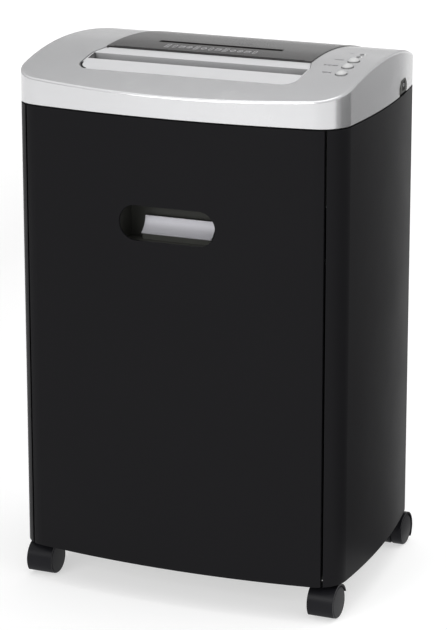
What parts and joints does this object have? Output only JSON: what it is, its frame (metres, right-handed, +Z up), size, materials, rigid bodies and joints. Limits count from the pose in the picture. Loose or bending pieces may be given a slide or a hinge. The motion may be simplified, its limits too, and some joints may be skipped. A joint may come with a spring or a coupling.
{
  "type": "paper shredder",
  "caption": "Desk-side paper and disc shredder: bowed black cabinet with a pull-out bin and hand hole, silver domed head with throats and buttons, on casters.",
  "frame": {"origin": "on the floor, under the middle of the cabinet's bounding box", "axes": "+Z up, -Y towards the front, +X to the right of the person facing it"},
  "size_m": [0.329, 0.2686, 0.5166],
  "materials": {
    "black_shell": "satin black sheet, fine texture",
    "black_plastic": "moulded, matt black",
    "tub_plastic": "moulded, fine grain",
    "silver_shell": "silver metallic paint on moulded plastic",
    "light_insert": "light silver-grey, satin",
    "dark_panel": "dark graphite, glossy",
    "button_plastic": "pale grey, domed",
    "rocker_plastic": "glossy black",
    "lamp_lens": "dark smoked lens",
    "satin_metal": "satin, brushed along its length",
    "blade_steel": "ground and oiled",
    "shaft_steel": "turned",
    "plate_steel": "zinc-plated sheet",
    "screw_steel": "zinc-plated",
    "gear_steel": "machined, greased",
    "bush_brass": "sintered bronze",
    "comb_plastic": "moulded",
    "motor_can": "drawn can, grey",
    "board": "green circuit board",
    "caster_plastic": "moulded, matt black",
    "caster_wheel": "hard black plastic tread",
    "caster_stem": "zinc-plated"
  },
  "bodies": {
    "cabinet": {"left_side_panel": "black_shell", "right_side_panel": "black_shell", "back_panel": "black_shell", "base_tray": "black_plastic", "bin_runners": "black_plastic", "head_housing": "black_plastic", "disc_chute": "black_plastic", "cord_gland": "black_plastic", "power_switch_frame": "black_plastic", "bin_switch": "black_plastic", "head_cover": "silver_shell", "throat_insert": "light_insert", "disc_panel": "dark_panel", "indicator_lenses": "lamp_lens", "control_board": "board", "head_screws": "screw_steel", "front_strippers": "comb_plastic", "rear_strippers": "comb_plastic", "cutter_left_plate": "plate_steel", "cutter_right_plate": "plate_steel", "cutter_tie_rods": "shaft_steel", "cutter_bushes": "bush_brass", "reduction_axle": "shaft_steel", "motor_body": "motor_can", "main_board": "board"},
    "bin": {"bin_front_panel": "black_shell", "waste_bin": "tub_plastic", "bin_screws": "screw_steel", "handle_cup": "black_plastic", "handle_grip_plate": "satin_metal"},
    "reverse_key": {"reverse_button": "button_plastic"},
    "stop_key": {"stop_button": "button_plastic"},
    "auto_key": {"auto_button": "button_plastic"},
    "rocker": {"power_rocker": "rocker_plastic"},
    "rear_cutter": {"cutter_shaft_rear": "shaft_steel", "cutter_discs_rear": "blade_steel", "sync_gear_rear": "gear_steel", "output_gear": "gear_steel"},
    "front_cutter": {"cutter_shaft_front": "shaft_steel", "cutter_discs_front": "blade_steel", "sync_gear_front": "gear_steel"},
    "reduction": {"reduction_gear": "gear_steel"},
    "rotor": {"motor_rotor": "shaft_steel"},
    "caster_front_left": {"caster_front_left_stem": "caster_stem", "caster_front_left_hood": "caster_plastic"},
    "front_left_left_wheel": {"caster_front_left_left_wheel": "caster_wheel"},
    "front_left_right_wheel": {"caster_front_left_right_wheel": "caster_wheel"},
    "caster_front_right": {"caster_front_right_stem": "caster_stem", "caster_front_right_hood": "caster_plastic"},
    "front_right_left_wheel": {"caster_front_right_left_wheel": "caster_wheel"},
    "front_right_right_wheel": {"caster_front_right_right_wheel": "caster_wheel"},
    "caster_rear_left": {"caster_rear_left_stem": "caster_stem", "caster_rear_left_hood": "caster_plastic"},
    "rear_left_left_wheel": {"caster_rear_left_left_wheel": "caster_wheel"},
    "rear_left_right_wheel": {"caster_rear_left_right_wheel": "caster_wheel"},
    "caster_rear_right": {"caster_rear_right_stem": "caster_stem", "caster_rear_right_hood": "caster_plastic"},
    "rear_right_left_wheel": {"caster_rear_right_left_wheel": "caster_wheel"},
    "rear_right_right_wheel": {"caster_rear_right_right_wheel": "caster_wheel"}
  },
  "joints": [
    {"name": "bin_slide", "type": "slide", "parent": "cabinet", "child": "bin", "axis": [0, -1, 0], "range_m": [0, 0.22]},
    {"name": "reverse_press", "type": "slide", "parent": "cabinet", "child": "reverse_key", "axis": [0, 0.1334, -0.9911], "range_m": [0, 0.0012], "stiffness_N_per_m": 900, "springref_m": -0.0006},
    {"name": "stop_press", "type": "slide", "parent": "cabinet", "child": "stop_key", "axis": [0, 0.1334, -0.9911], "range_m": [0, 0.0012], "stiffness_N_per_m": 900, "springref_m": -0.0006},
    {"name": "auto_press", "type": "slide", "parent": "cabinet", "child": "auto_key", "axis": [0, 0.1334, -0.9911], "range_m": [0, 0.0012], "stiffness_N_per_m": 900, "springref_m": -0.0006},
    {"name": "power_toggle", "type": "hinge", "parent": "cabinet", "child": "rocker", "pos_m": [0.1496, 0.06538, 0.476], "axis": [0, 0, 1], "range_deg": [0, 14]},
    {"name": "rear_cutter_spin", "type": "hinge", "parent": "cabinet", "child": "rear_cutter", "pos_m": [0, -0.04392, 0.43], "axis": [1, 0, 0], "continuous": true},
    {"name": "front_cutter_spin", "type": "hinge", "parent": "cabinet", "child": "front_cutter", "pos_m": [0, -0.08007, 0.43], "axis": [1, 0, 0], "continuous": true},
    {"name": "reduction_spin", "type": "hinge", "parent": "cabinet", "child": "reduction", "pos_m": [0.12, -0.00739, 0.441], "axis": [1, 0, 0], "continuous": true},
    {"name": "rotor_spin", "type": "hinge", "parent": "cabinet", "child": "rotor", "pos_m": [0.12, 0.03748, 0.436], "axis": [1, 0, 0], "continuous": true},
    {"name": "front_left_swivel", "type": "hinge", "parent": "cabinet", "child": "caster_front_left", "pos_m": [-0.147, -0.083, 0.04], "axis": [0, 0, 1], "continuous": true},
    {"name": "front_left_left_roll", "type": "hinge", "parent": "caster_front_left", "child": "front_left_left_wheel", "pos_m": [-0.1545, -0.098, 0.0155], "axis": [1, 0, 0], "continuous": true},
    {"name": "front_left_right_roll", "type": "hinge", "parent": "caster_front_left", "child": "front_left_right_wheel", "pos_m": [-0.1395, -0.098, 0.0155], "axis": [1, 0, 0], "continuous": true},
    {"name": "front_right_swivel", "type": "hinge", "parent": "cabinet", "child": "caster_front_right", "pos_m": [0.147, -0.083, 0.04], "axis": [0, 0, 1], "continuous": true},
    {"name": "front_right_left_roll", "type": "hinge", "parent": "caster_front_right", "child": "front_right_left_wheel", "pos_m": [0.1395, -0.098, 0.0155], "axis": [1, 0, 0], "continuous": true},
    {"name": "front_right_right_roll", "type": "hinge", "parent": "caster_front_right", "child": "front_right_right_wheel", "pos_m": [0.1545, -0.098, 0.0155], "axis": [1, 0, 0], "continuous": true},
    {"name": "rear_left_swivel", "type": "hinge", "parent": "cabinet", "child": "caster_rear_left", "pos_m": [-0.133, 0.1015, 0.04], "axis": [0, 0, 1], "continuous": true},
    {"name": "rear_left_left_roll", "type": "hinge", "parent": "caster_rear_left", "child": "rear_left_left_wheel", "pos_m": [-0.1405, 0.1165, 0.0155], "axis": [1, 0, 0], "continuous": true},
    {"name": "rear_left_right_roll", "type": "hinge", "parent": "caster_rear_left", "child": "rear_left_right_wheel", "pos_m": [-0.1255, 0.1165, 0.0155], "axis": [1, 0, 0], "continuous": true},
    {"name": "rear_right_swivel", "type": "hinge", "parent": "cabinet", "child": "caster_rear_right", "pos_m": [0.133, 0.1015, 0.04], "axis": [0, 0, 1], "continuous": true},
    {"name": "rear_right_left_roll", "type": "hinge", "parent": "caster_rear_right", "child": "rear_right_left_wheel", "pos_m": [0.1255, 0.1165, 0.0155], "axis": [1, 0, 0], "continuous": true},
    {"name": "rear_right_right_roll", "type": "hinge", "parent": "caster_rear_right", "child": "rear_right_right_wheel", "pos_m": [0.1405, 0.1165, 0.0155], "axis": [1, 0, 0], "continuous": true}
  ],
  "couplings": [
    {"joint": "front_cutter_spin", "follows": "rear_cutter_spin", "ratio": -1},
    {"joint": "reduction_spin", "follows": "rear_cutter_spin", "ratio": -2.1667},
    {"joint": "rotor_spin", "follows": "rear_cutter_spin", "ratio": 10.833}
  ]
}
